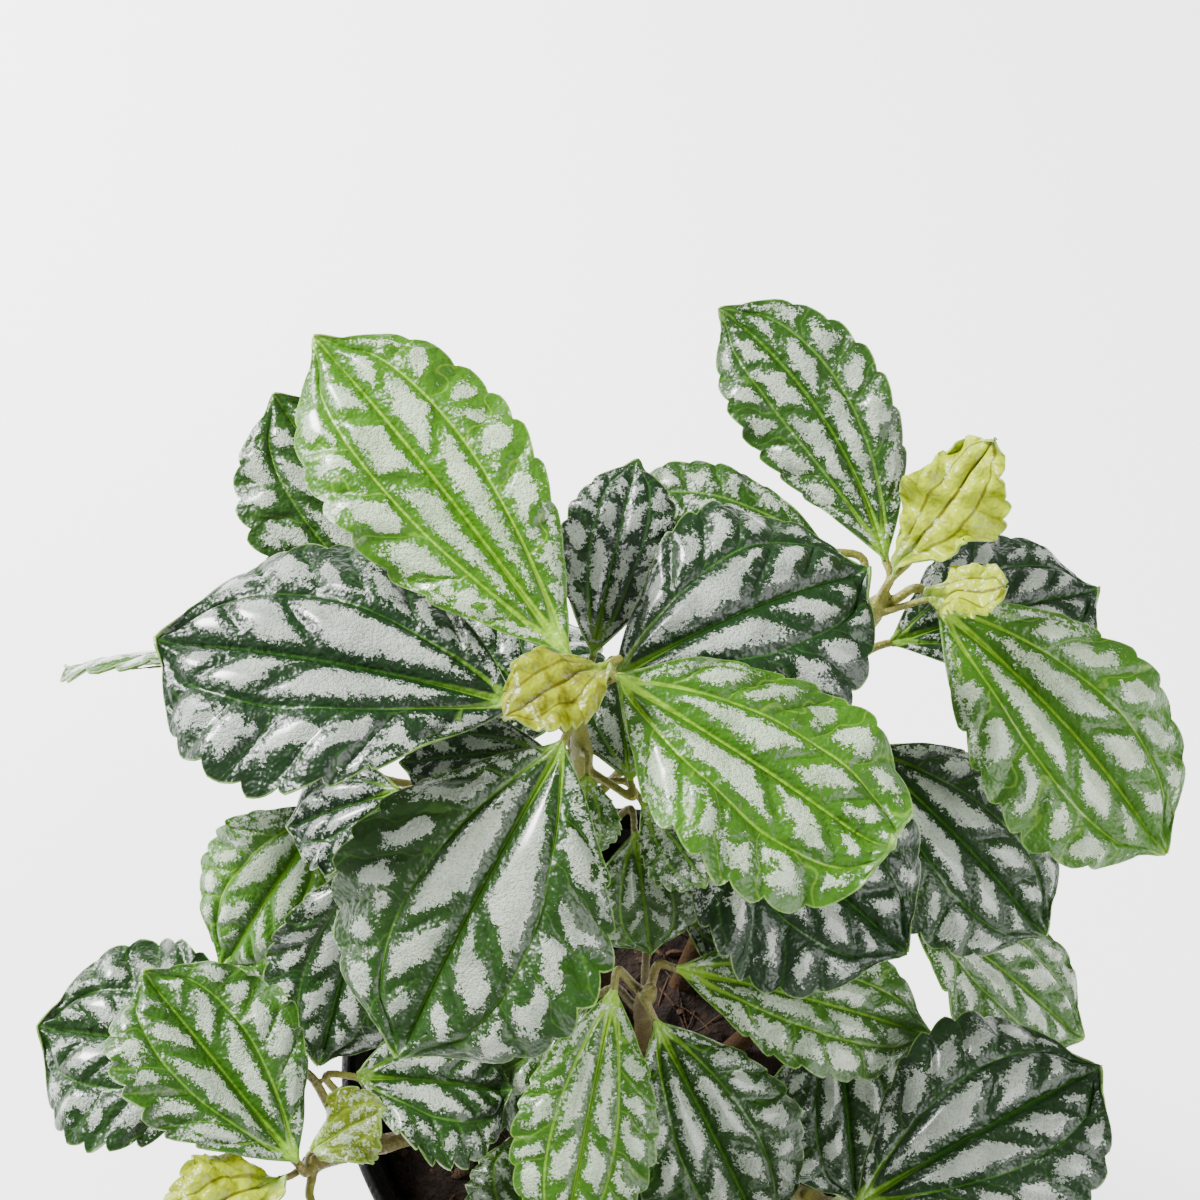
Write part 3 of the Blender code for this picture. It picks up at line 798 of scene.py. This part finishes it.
class PotLooks(bpy.types.PropertyGroup):
    """Sizes and colours of the pot, which follow the solid it stands for."""

    height: bpy.props.FloatProperty(
        name="Height",
        description="Height of the pot",
        default=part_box("pot")[1].z,
        unit="LENGTH",
    )
    rim_radius: bpy.props.FloatProperty(
        name="Rim radius",
        description="Outside radius of the rim band",
        default=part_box("pot")[1].x,
        unit="LENGTH",
    )
    pot_dark: colour_property("Plastic", "Near-black plastic", (0.006, 0.006, 0.006))
    pot_dust: colour_property("Dust", "Dried dust and water marks", (0.045, 0.040, 0.034))


class StageLooks(bpy.types.PropertyGroup):
    """The studio round the plant."""

    floor: colour_property("Floor", "Pale floor", (0.92, 0.92, 0.92))
    floor_glow: bpy.props.FloatProperty(
        name="Floor glow",
        description="Light that the floor gives off, as a lit table does",
        default=1.3,
        min=0.0,
    )
    sky: bpy.props.FloatProperty(name="Sky", description="Strength of the even light", default=0.5, min=0.0)
    key: bpy.props.FloatProperty(
        name="Key light", description="Power of the large soft light", default=42.0, min=0.0
    )


LOOKS = {
    "aluminum_plant_leaf": LeafLooks,
    "aluminum_plant_stem": StemLooks,
    "aluminum_plant_soil": SoilLooks,
    "aluminum_plant_pot": PotLooks,
    "aluminum_plant_stage": StageLooks,
}


def write_vectors(mesh, name, columns):
    """Stores three numbers for each point of a mesh."""
    layer = mesh.attributes.new(name, "FLOAT_VECTOR", "POINT")
    layer.data.foreach_set("vector", np.stack(columns, axis=1).astype(np.float32).ravel())


def flat_grid(columns, rows):
    """A flat grid that runs from -1 to 1 both ways."""
    bpy.ops.mesh.primitive_grid_add(x_subdivisions=columns, y_subdivisions=rows, size=2.0)
    return bpy.context.object


def shape_blade(made, blade):
    """Moves the points of a flat grid to a blade, and stores what its materials read."""
    mesh = made.data
    flat = np.empty(len(mesh.vertices) * 3, np.float32)
    mesh.vertices.foreach_get("co", flat)
    flat = flat.reshape(-1, 3).astype(float)
    across = np.clip(flat[:, 0], -1.0, 1.0)
    stations = blade_stations()
    row = (flat[:, 1] + 1.0) * 0.5 * (len(stations) - 1)
    s = np.interp(row, np.arange(len(stations)), stations)
    points, edge = blade.points(s, across)
    mesh.vertices.foreach_set("co", (points * MM).astype(np.float32).ravel())
    rib, side, ahead, outer = blade.veins(s, across)
    same = np.ones_like(s)
    write_vectors(mesh, "veins", (rib, side, ahead))
    write_vectors(mesh, "cells", (outer, s, edge))
    write_vectors(mesh, "kind", (blade.age * same, blade.leaf.length * same, blade.leaf.width * same))
    mesh.update()


def stem_path(shoot):
    return smooth_path(shoot.stem, STEM_STEPS)


def petiole_path(leaf, path):
    """From the stem's middle, up and out, then under the blade as its midrib's ridge."""
    start = point_at(path, leaf.node)
    ridge = np.linspace(0.0, 0.72, 10)
    centre, along, _, up = midrib(leaf, ridge)
    below = centre - up * (0.45 + RIB_DEPTH * np.clip(ridge / 0.08, 0.0, 1.0))[:, None]
    base = below[0]
    reach = np.linalg.norm(base - start)
    bend = base - along[0] * 0.35 * reach
    bend[2] += 0.08 * reach
    bare = smooth_path([start, 0.5 * (start + bend), bend, base, below[1]], 5)[:-5]
    route = np.vstack([bare, below[1:]])
    thick = np.linspace(PETIOLE_RADIUS * 1.15, PETIOLE_RADIUS * 0.9, len(bare))
    thin = np.linspace(PETIOLE_RADIUS * 0.85, 0.3, len(below) - 1)
    size = 0.65 + 0.35 * min(leaf.length / 50.0, 1.0)
    return route, np.concatenate([thick, thin]) * size


def tube(path, radii, roundness=4):
    """A capped tube along a path in millimetres, as a mesh."""
    deselect()
    bpy.ops.curve.primitive_bezier_curve_add()
    made = bpy.context.object
    curve = made.data
    curve.splines.clear()
    spline = curve.splines.new("POLY")
    spline.points.add(len(path) - 1)
    for point, place, radius in zip(spline.points, path, radii):
        point.co = (*(np.array(place) * MM), 1.0)
        point.radius = radius
    curve.dimensions = "3D"
    curve.bevel_depth = MM
    curve.bevel_resolution = roundness
    curve.use_fill_caps = True
    activate(made)
    bpy.ops.object.convert(target="MESH")
    return bpy.context.object


def close_up(made):
    """Merges doubled points and turns every face outwards."""
    activate(made)
    bpy.ops.object.mode_set(mode="EDIT")
    bpy.ops.mesh.select_all(action="SELECT")
    bpy.ops.mesh.remove_doubles(threshold=0.01 * MM)
    bpy.ops.mesh.normals_make_consistent(inside=False)
    bpy.ops.object.mode_set(mode="OBJECT")


def join(objects):
    activate(*objects)
    bpy.ops.object.join()
    return bpy.context.object


def leafy_skeleton(shoot):
    """A stem and its petioles, grown together in one skin."""
    path = stem_path(shoot)
    runs = np.linalg.norm(np.diff(path, axis=0), axis=1)
    along = np.concatenate([[0.0], np.cumsum(runs)])
    radii = STEM_BASE_RADIUS + (STEM_TOP_RADIUS - STEM_BASE_RADIUS) * along / along[-1]
    joints = {leaf.node for leaf in shoot.leaves} | set(BARE_JOINTS)
    for joint in joints:
        radii = radii + NODE_SWELL * np.exp(-(((along - joint * along[-1]) / 1.8) ** 2))
    parts = [tube(path, radii)]
    for leaf in shoot.leaves:
        parts.append(tube(*petiole_path(leaf, path)))
    for part in parts:
        close_up(part)
    made = join(parts)
    skin = made.modifiers.new("skin", "REMESH")
    skin.mode = "VOXEL"
    skin.voxel_size = STEM_VOXEL * MM
    finish_modifier(made, skin)
    relax = made.modifiers.new("relax", "SMOOTH")
    relax.factor = 0.5
    relax.iterations = 4
    finish_modifier(made, relax)
    return made


class PLANT_OT_pot(bpy.types.Operator):
    """Model the nursery pot"""

    bl_idname = "aluminum_plant.pot"
    bl_label = "Nursery Pot"

    def execute(self, context):
        looks = context.scene.aluminum_plant_pot
        height, rim = looks.height / MM, looks.rim_radius / MM
        band = height - RIM_BAND
        outside = [
            (FOOT_RADIUS - 1.0, 0.0),
            (FOOT_RADIUS, 0.4),
            (FOOT_RADIUS + 0.4, 1.4),
            (FOOT_RADIUS + 1.0, 5.0),
            (WALL_TOP_RADIUS, band - 1.6),
            (WALL_TOP_RADIUS + 0.6, band - 0.9),
            (rim - 0.7, band - 0.5),
            (rim - 0.25, band),
            (rim - 0.1, band + 1.0),
            (rim - 0.4, band + 2.2),
            (rim - 0.3, height - 2.4),
            (rim, height - 1.5),
            (rim, height - 0.5),
            (rim - 0.35, height - 0.1),
        ]
        inside = [
            (rim - POT_WALL + 0.2, height),
            (rim - POT_WALL - 0.2, height - 0.4),
            (rim - POT_WALL - 0.5, band + 4.0),
            (WALL_TOP_RADIUS - POT_WALL, band + 1.0),
            (FOOT_RADIUS - POT_WALL + 0.6, 4.0),
            (FOOT_RADIUS - POT_WALL - 0.6, 2.6),
            (FOOT_RADIUS - POT_WALL - 2.0, 2.4),
        ]
        deselect()
        first, *rest = outside + inside
        bpy.ops.mesh.primitive_circle_add(
            vertices=POT_SIDES, radius=first[0] * MM, fill_type="NGON", location=(0, 0, 0)
        )
        made = context.object
        bpy.ops.object.mode_set(mode="EDIT")
        bpy.ops.mesh.select_all(action="SELECT")
        radius, level = first
        for wide, high in rest:
            bpy.ops.mesh.extrude_region_move(
                TRANSFORM_OT_translate={"value": (0, 0, (high - level) * MM)}
            )
            scale = wide / radius
            bpy.ops.transform.resize(value=(scale, scale, 1.0), center_override=(0, 0, high * MM))
            radius, level = wide, high
        bpy.ops.object.mode_set(mode="OBJECT")
        close_up(made)
        for index in range(DRAIN_HOLES):
            angle = 2.0 * math.pi * index / DRAIN_HOLES
            self.drill(made, DRAIN_CIRCLE * math.cos(angle), DRAIN_CIRCLE * math.sin(angle))
        for index in range(FOOT_NOTCHES):
            self.notch(made, 2.0 * math.pi * (index + 0.5) / FOOT_NOTCHES)
        soften = made.modifiers.new("soften", "BEVEL")
        soften.width = 0.18 * MM
        soften.segments = 2
        soften.limit_method = "ANGLE"
        soften.angle_limit = math.radians(50.0)
        finish_modifier(made, soften)
        settle(made, 30.0)
        place_piece(made, "nursery_pot", ["pot"], [pot_paint(looks)])
        return {"FINISHED"}

    def drill(self, made, x, y):
        """A round drain hole through the floor."""
        bpy.ops.mesh.primitive_cylinder_add(
            vertices=32, radius=DRAIN_RADIUS * MM, depth=10.0 * MM, location=(x * MM, y * MM, 0)
        )
        self.subtract(made, bpy.context.object)

    def notch(self, made, angle):
        """A low rounded notch under the wall, where water leaves."""
        place = (FOOT_RADIUS * math.cos(angle) * MM, FOOT_RADIUS * math.sin(angle) * MM, -NOTCH_DROP * MM)
        bpy.ops.mesh.primitive_cylinder_add(
            vertices=32,
            radius=NOTCH_RADIUS * MM,
            depth=5.0 * MM,
            location=place,
            rotation=(0, math.pi / 2, angle),
        )
        self.subtract(made, bpy.context.object)

    def subtract(self, made, cutter):
        cut = made.modifiers.new("cut", "BOOLEAN")
        cut.operation = "DIFFERENCE"
        cut.object = cutter
        cut.solver = "EXACT"
        finish_modifier(made, cut)
        bpy.data.objects.remove(cutter)


def soil_height(x, y):
    """Top of the soil in millimetres: low swells, with crumbs on them."""
    swell = math.sin(0.21 * x + 1.3) * math.cos(0.17 * y - 0.4)
    swell += 0.6 * math.sin(0.41 * x - 0.37 * y + 2.0)
    crumbs = noise.fractal(Vector((x, y, 3.0)) / 6.0, 0.7, 2.1, 4)
    clods = noise.noise(Vector((x, y, 40.0)) / 11.0)
    return SOIL_TOP + SOIL_BUMP * 0.6 * swell + 0.9 * crumbs + 0.8 * clods


class PLANT_OT_soil(bpy.types.Operator):
    """Model the plug of potting soil"""

    bl_idname = "aluminum_plant.soil"
    bl_label = "Potting Soil"

    def execute(self, context):
        looks = context.scene.aluminum_plant_soil
        deselect()
        bpy.ops.mesh.primitive_grid_add(x_subdivisions=150, y_subdivisions=150, size=2.0)
        made = context.object
        bpy.ops.object.mode_set(mode="EDIT")
        bpy.ops.mesh.select_all(action="SELECT")
        bpy.ops.mesh.region_to_loop()
        bpy.ops.mesh.extrude_region_move(TRANSFORM_OT_translate={"value": (0, 0, -1.0)})
        bpy.ops.mesh.edge_face_add()
        bpy.ops.object.mode_set(mode="OBJECT")
        for vertex in made.data.vertices:
            x, y = vertex.co.x, vertex.co.y
            far, wide = max(abs(x), abs(y)), math.hypot(x, y)
            stretch = far / wide if wide > 0 else 0.0
            if vertex.co.z < -0.5:
                place = (x * stretch * SOIL_LOW_RADIUS, y * stretch * SOIL_LOW_RADIUS, SOIL_LOW)
            else:
                px, py = x * stretch * SOIL_TOP_RADIUS, y * stretch * SOIL_TOP_RADIUS
                rim_fall = max(0.0, far - 0.94) / 0.06
                place = (px, py, soil_height(px, py) - 1.6 * rim_fall**2)
            vertex.co = Vector(place) * MM
        close_up(made)
        settle(made, 60.0)
        place_piece(made, "potting_soil", ["soil"], [soil_paint(looks)])
        return {"FINISHED"}


class PLANT_OT_soil_bits(bpy.types.Operator):
    """Scatter bark chips and coir strands on the soil"""

    bl_idname = "aluminum_plant.soil_bits"
    bl_label = "Bark And Coir"

    def execute(self, context):
        looks = context.scene.aluminum_plant_soil
        dice = np.random.default_rng(BITS_SEED)
        deselect()
        bpy.ops.mesh.primitive_ico_sphere_add(subdivisions=1, radius=1.0)
        chip = context.object
        parts = []
        for _ in range(looks.chips):
            parts.append(self.chip(chip, dice))
        for _ in range(looks.fibres):
            parts.append(self.strand(dice))
        bpy.data.objects.remove(chip)
        made = join(parts)
        settle(made, 35.0)
        place_piece(made, "bark_and_coir", ["soil"], [fibre_paint(looks)])
        return {"FINISHED"}

    def spot(self, dice, reach):
        """A place on the soil, inside the pot."""
        radius, turn = reach * math.sqrt(dice.uniform(0.0, 1.0)), dice.uniform(0.0, 2.0 * math.pi)
        x, y = radius * math.cos(turn), radius * math.sin(turn)
        return np.array([x, y, soil_height(x, y)])

    def chip(self, model, dice):
        made = model.copy()
        made.data = model.data.copy()
        bpy.context.scene.collection.objects.link(made)
        size = np.exp(dice.normal(0.15, 0.45)) * np.array([1.3, 0.8, 0.42])
        turn = Matrix.Rotation(dice.uniform(0, 6.28), 3, "Z") @ Matrix.Rotation(dice.normal(0, 0.5), 3, "X")
        centre = self.spot(dice, CHIP_REACH) + np.array([0.0, 0.0, 0.15])
        for vertex in made.data.vertices:
            ragged = vertex.co * dice.uniform(0.7, 1.2)
            shaped = turn @ Vector(ragged * Vector(size))
            vertex.co = (shaped + Vector(centre)) * MM
        return made

    def strand(self, dice):
        start = self.spot(dice, FIBRE_REACH)
        turn = dice.uniform(0.0, 2.0 * math.pi)
        length, bow = dice.uniform(4.0, 12.0), dice.uniform(-0.25, 0.25)
        path = []
        for step in range(5):
            run = (step / 4.0 - 0.5) * length
            x = start[0] + run * math.cos(turn) - bow * run**2 * 0.2 * math.sin(turn)
            y = start[1] + run * math.sin(turn) + bow * run**2 * 0.2 * math.cos(turn)
            reach = math.hypot(x, y)
            if reach >= FIBRE_LIMIT:
                x, y = x * FIBRE_LIMIT / reach, y * FIBRE_LIMIT / reach
            path.append((x, y, soil_height(x, y) + 0.25 + 0.5 * math.sin(step * 1.1)))
        return tube(path, [dice.uniform(0.14, 0.3)] * len(path), roundness=0)


class PLANT_OT_stems(bpy.types.Operator):
    """Model each stem with its petioles"""

    bl_idname = "aluminum_plant.stems"
    bl_label = "Stems And Petioles"

    def execute(self, context):
        skin = stem_paint(context.scene.aluminum_plant_stem)
        for name, shoot in SHOOTS.items():
            made = leafy_skeleton(shoot)
            settle(made, 60.0)
            place_piece(made, name.replace("shoot", "stem"), [name], [skin])
        return {"FINISHED"}


class PLANT_OT_leaves(bpy.types.Operator):
    """Model every blade, each one shaped from a flat grid"""

    bl_idname = "aluminum_plant.leaves"
    bl_label = "Leaves"

    def execute(self, context):
        looks = context.scene.aluminum_plant_leaf
        paints = [leaf_paint(looks), underside_paint(looks)]
        rows = len(blade_stations()) - 1
        seed = 0
        for name, shoot in SHOOTS.items():
            for index, leaf in enumerate(shoot.leaves):
                seed += 1
                columns = 2 * max(10, round(leaf.width / COLUMN_STEP / 2.0))
                deselect()
                made = flat_grid(columns, rows)
                shape_blade(made, Blade(leaf, AGES[name][index], seed))
                self.thicken(made, looks.thickness)
                settle(made, 60.0)
                title = name.replace("shoot", "leaf") + f"_{index + 1}"
                place_piece(made, title, [name], paints)
        return {"FINISHED"}

    def thicken(self, made, thickness):
        """Gives a blade its lower side, which takes the second material."""
        made.data.materials.append(None)
        made.data.materials.append(None)
        body = made.modifiers.new("thickness", "SOLIDIFY")
        body.thickness = thickness
        body.offset = -1.0
        body.material_offset = 1
        finish_modifier(made, body)


class PLANT_OT_stage(bpy.types.Operator):
    """Set the pale floor, the soft studio light and the camera"""

    bl_idname = "aluminum_plant.stage"
    bl_label = "Studio Stage"

    def execute(self, context):
        looks = context.scene.aluminum_plant_stage
        deselect()
        bpy.ops.mesh.primitive_plane_add(size=6.0, location=(0, 0, 0))
        floor = context.object
        floor.name = "studio_floor"
        floor.data.materials.append(floor_paint(looks))
        world = bpy.data.worlds.new("studio_sky")
        world.use_nodes = True
        sky = world.node_tree.nodes["Background"]
        sky.inputs["Color"].default_value = (1.0, 1.0, 1.0, 1.0)
        sky.inputs["Strength"].default_value = looks.sky
        context.scene.world = world
        self.lamp("key_light", (-0.72, 0.5, 0.78), 0.34, looks.key)
        self.lamp("fill_light", (0.8, -0.5, 0.9), 0.9, looks.key * 0.45)
        self.camera(context)
        return {"FINISHED"}

    def lamp(self, name, place, size, power):
        """A square soft light that faces the leaves."""
        target = Vector((0.0, 0.0, 0.18))
        bpy.ops.object.light_add(type="AREA", location=place)
        lamp = bpy.context.object
        lamp.name = name
        lamp.data.size = size
        lamp.data.energy = power
        lamp.rotation_euler = (Vector(place) - target).to_track_quat("Z", "Y").to_euler()

    def camera(self, context):
        bpy.ops.object.camera_add(
            location=[value * MM for value in CAMERA_PLACE],
            rotation=(math.radians(CAMERA_TILT), 0.0, 0.0),
        )
        camera = context.object
        camera.name = "photo_camera"
        camera.data.sensor_width = SENSOR_WIDTH
        camera.data.lens = SENSOR_WIDTH * FOCAL_LENGTH_PX / PHOTO_WIDTH_PX
        context.scene.camera = camera


OPERATORS = (
    PLANT_OT_pot,
    PLANT_OT_soil,
    PLANT_OT_soil_bits,
    PLANT_OT_stems,
    PLANT_OT_leaves,
    PLANT_OT_stage,
)


class PLANT_PT_looks(bpy.types.Panel):
    """Buttons for each group of pieces, in the order that they are made."""

    bl_idname = "PLANT_PT_looks"
    bl_label = "Aluminum Plant"
    bl_space_type = "VIEW_3D"
    bl_region_type = "UI"
    bl_category = "Aluminum Plant"

    def draw(self, context):
        for operator in OPERATORS:
            self.layout.operator(operator.bl_idname)


def register():
    for kind in (*LOOKS.values(), *OPERATORS, PLANT_PT_looks):
        bpy.utils.register_class(kind)
    for name, kind in LOOKS.items():
        setattr(bpy.types.Scene, name, bpy.props.PointerProperty(type=kind))


def unregister():
    for name in LOOKS:
        delattr(bpy.types.Scene, name)
    for kind in reversed((*LOOKS.values(), *OPERATORS, PLANT_PT_looks)):
        bpy.utils.unregister_class(kind)


def main():
    register()
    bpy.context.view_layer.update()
    for operator in OPERATORS:
        group, name = operator.bl_idname.split(".")
        getattr(getattr(bpy.ops, group), name)()


if __name__ == "__main__":
    main()
